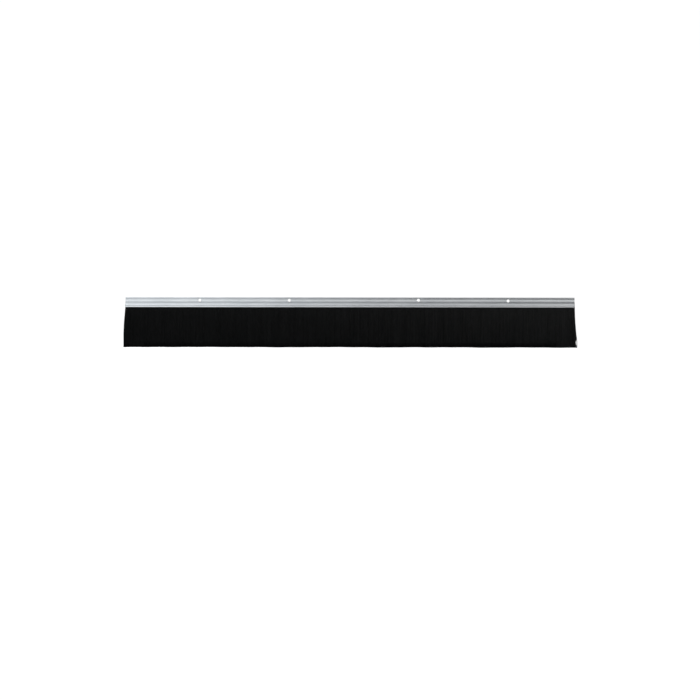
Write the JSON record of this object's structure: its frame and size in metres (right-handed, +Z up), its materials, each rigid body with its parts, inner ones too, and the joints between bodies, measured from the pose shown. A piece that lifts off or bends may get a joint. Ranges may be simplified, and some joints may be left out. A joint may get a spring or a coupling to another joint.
{
  "type": "door sweep",
  "caption": "Straight brush door sweep: a drilled metal carrier screwed to a door's foot holds a sliding strip of long black bristles that close the gap to the floor.",
  "frame": {"origin": "on the carrier's flat back face, which lies on the door, at mid-length on the line of the screw holes", "axes": "+X along the sweep, +Y out of the back face into the door, +Z up; the bristle tips point to -Z"},
  "size_m": [0.9226, 0.0087, 0.1016],
  "materials": {
    "aluminium": "mill finish, fine extrusion lines, satin",
    "galvanised_steel": "galvanised strip, dull",
    "steel_wire": "drawn wire",
    "filament": "black straight plastic filaments, loosely packed"
  },
  "bodies": {
    "carrier": {"carrier": "aluminium"},
    "brush": {"brush_channel": "galvanised_steel", "core_wire": "steel_wire", "bristle_root": "filament"},
    "bristles_01": {"bristles_01": "filament"},
    "bristles_02": {"bristles_02": "filament"},
    "bristles_03": {"bristles_03": "filament"},
    "bristles_04": {"bristles_04": "filament"},
    "bristles_05": {"bristles_05": "filament"},
    "bristles_06": {"bristles_06": "filament"},
    "bristles_07": {"bristles_07": "filament"},
    "bristles_08": {"bristles_08": "filament"},
    "bristles_09": {"bristles_09": "filament"},
    "bristles_10": {"bristles_10": "filament"},
    "bristles_11": {"bristles_11": "filament"},
    "bristles_12": {"bristles_12": "filament"},
    "bristles_13": {"bristles_13": "filament"},
    "bristles_14": {"bristles_14": "filament"},
    "bristles_15": {"bristles_15": "filament"},
    "bristles_16": {"bristles_16": "filament"},
    "bristles_17": {"bristles_17": "filament"},
    "bristles_18": {"bristles_18": "filament"},
    "bristles_19": {"bristles_19": "filament"},
    "bristles_20": {"bristles_20": "filament"},
    "bristles_21": {"bristles_21": "filament"},
    "bristles_22": {"bristles_22": "filament"},
    "bristles_23": {"bristles_23": "filament"},
    "bristles_24": {"bristles_24": "filament"}
  },
  "joints": [
    {"name": "brush_slide", "type": "slide", "parent": "carrier", "child": "brush", "axis": [1, 0, 0], "range_m": [0, 0.93]},
    {"name": "bend_01", "type": "hinge", "parent": "brush", "child": "bristles_01", "pos_m": [-0.43872, -0.00435, -0.0265], "axis": [1, 0, 0], "range_deg": [-60, 60], "stiffness_Nm_per_rad": 0.03},
    {"name": "bend_02", "type": "hinge", "parent": "brush", "child": "bristles_02", "pos_m": [-0.40058, -0.00435, -0.0265], "axis": [1, 0, 0], "range_deg": [-60, 60], "stiffness_Nm_per_rad": 0.03},
    {"name": "bend_03", "type": "hinge", "parent": "brush", "child": "bristles_03", "pos_m": [-0.36242, -0.00435, -0.0265], "axis": [1, 0, 0], "range_deg": [-60, 60], "stiffness_Nm_per_rad": 0.03},
    {"name": "bend_04", "type": "hinge", "parent": "brush", "child": "bristles_04", "pos_m": [-0.32427, -0.00435, -0.0265], "axis": [1, 0, 0], "range_deg": [-60, 60], "stiffness_Nm_per_rad": 0.03},
    {"name": "bend_05", "type": "hinge", "parent": "brush", "child": "bristles_05", "pos_m": [-0.28613, -0.00435, -0.0265], "axis": [1, 0, 0], "range_deg": [-60, 60], "stiffness_Nm_per_rad": 0.03},
    {"name": "bend_06", "type": "hinge", "parent": "brush", "child": "bristles_06", "pos_m": [-0.24798, -0.00435, -0.0265], "axis": [1, 0, 0], "range_deg": [-60, 60], "stiffness_Nm_per_rad": 0.03},
    {"name": "bend_07", "type": "hinge", "parent": "brush", "child": "bristles_07", "pos_m": [-0.20983, -0.00435, -0.0265], "axis": [1, 0, 0], "range_deg": [-60, 60], "stiffness_Nm_per_rad": 0.03},
    {"name": "bend_08", "type": "hinge", "parent": "brush", "child": "bristles_08", "pos_m": [-0.17167, -0.00435, -0.0265], "axis": [1, 0, 0], "range_deg": [-60, 60], "stiffness_Nm_per_rad": 0.03},
    {"name": "bend_09", "type": "hinge", "parent": "brush", "child": "bristles_09", "pos_m": [-0.13353, -0.00435, -0.0265], "axis": [1, 0, 0], "range_deg": [-60, 60], "stiffness_Nm_per_rad": 0.03},
    {"name": "bend_10", "type": "hinge", "parent": "brush", "child": "bristles_10", "pos_m": [-0.09538, -0.00435, -0.0265], "axis": [1, 0, 0], "range_deg": [-60, 60], "stiffness_Nm_per_rad": 0.03},
    {"name": "bend_11", "type": "hinge", "parent": "brush", "child": "bristles_11", "pos_m": [-0.05722, -0.00435, -0.0265], "axis": [1, 0, 0], "range_deg": [-60, 60], "stiffness_Nm_per_rad": 0.03},
    {"name": "bend_12", "type": "hinge", "parent": "brush", "child": "bristles_12", "pos_m": [-0.01908, -0.00435, -0.0265], "axis": [1, 0, 0], "range_deg": [-60, 60], "stiffness_Nm_per_rad": 0.03},
    {"name": "bend_13", "type": "hinge", "parent": "brush", "child": "bristles_13", "pos_m": [0.01908, -0.00435, -0.0265], "axis": [1, 0, 0], "range_deg": [-60, 60], "stiffness_Nm_per_rad": 0.03},
    {"name": "bend_14", "type": "hinge", "parent": "brush", "child": "bristles_14", "pos_m": [0.05722, -0.00435, -0.0265], "axis": [1, 0, 0], "range_deg": [-60, 60], "stiffness_Nm_per_rad": 0.03},
    {"name": "bend_15", "type": "hinge", "parent": "brush", "child": "bristles_15", "pos_m": [0.09538, -0.00435, -0.0265], "axis": [1, 0, 0], "range_deg": [-60, 60], "stiffness_Nm_per_rad": 0.03},
    {"name": "bend_16", "type": "hinge", "parent": "brush", "child": "bristles_16", "pos_m": [0.13353, -0.00435, -0.0265], "axis": [1, 0, 0], "range_deg": [-60, 60], "stiffness_Nm_per_rad": 0.03},
    {"name": "bend_17", "type": "hinge", "parent": "brush", "child": "bristles_17", "pos_m": [0.17167, -0.00435, -0.0265], "axis": [1, 0, 0], "range_deg": [-60, 60], "stiffness_Nm_per_rad": 0.03},
    {"name": "bend_18", "type": "hinge", "parent": "brush", "child": "bristles_18", "pos_m": [0.20983, -0.00435, -0.0265], "axis": [1, 0, 0], "range_deg": [-60, 60], "stiffness_Nm_per_rad": 0.03},
    {"name": "bend_19", "type": "hinge", "parent": "brush", "child": "bristles_19", "pos_m": [0.24798, -0.00435, -0.0265], "axis": [1, 0, 0], "range_deg": [-60, 60], "stiffness_Nm_per_rad": 0.03},
    {"name": "bend_20", "type": "hinge", "parent": "brush", "child": "bristles_20", "pos_m": [0.28613, -0.00435, -0.0265], "axis": [1, 0, 0], "range_deg": [-60, 60], "stiffness_Nm_per_rad": 0.03},
    {"name": "bend_21", "type": "hinge", "parent": "brush", "child": "bristles_21", "pos_m": [0.32427, -0.00435, -0.0265], "axis": [1, 0, 0], "range_deg": [-60, 60], "stiffness_Nm_per_rad": 0.03},
    {"name": "bend_22", "type": "hinge", "parent": "brush", "child": "bristles_22", "pos_m": [0.36242, -0.00435, -0.0265], "axis": [1, 0, 0], "range_deg": [-60, 60], "stiffness_Nm_per_rad": 0.03},
    {"name": "bend_23", "type": "hinge", "parent": "brush", "child": "bristles_23", "pos_m": [0.40058, -0.00435, -0.0265], "axis": [1, 0, 0], "range_deg": [-60, 60], "stiffness_Nm_per_rad": 0.03},
    {"name": "bend_24", "type": "hinge", "parent": "brush", "child": "bristles_24", "pos_m": [0.43872, -0.00435, -0.0265], "axis": [1, 0, 0], "range_deg": [-60, 60], "stiffness_Nm_per_rad": 0.03}
  ]
}
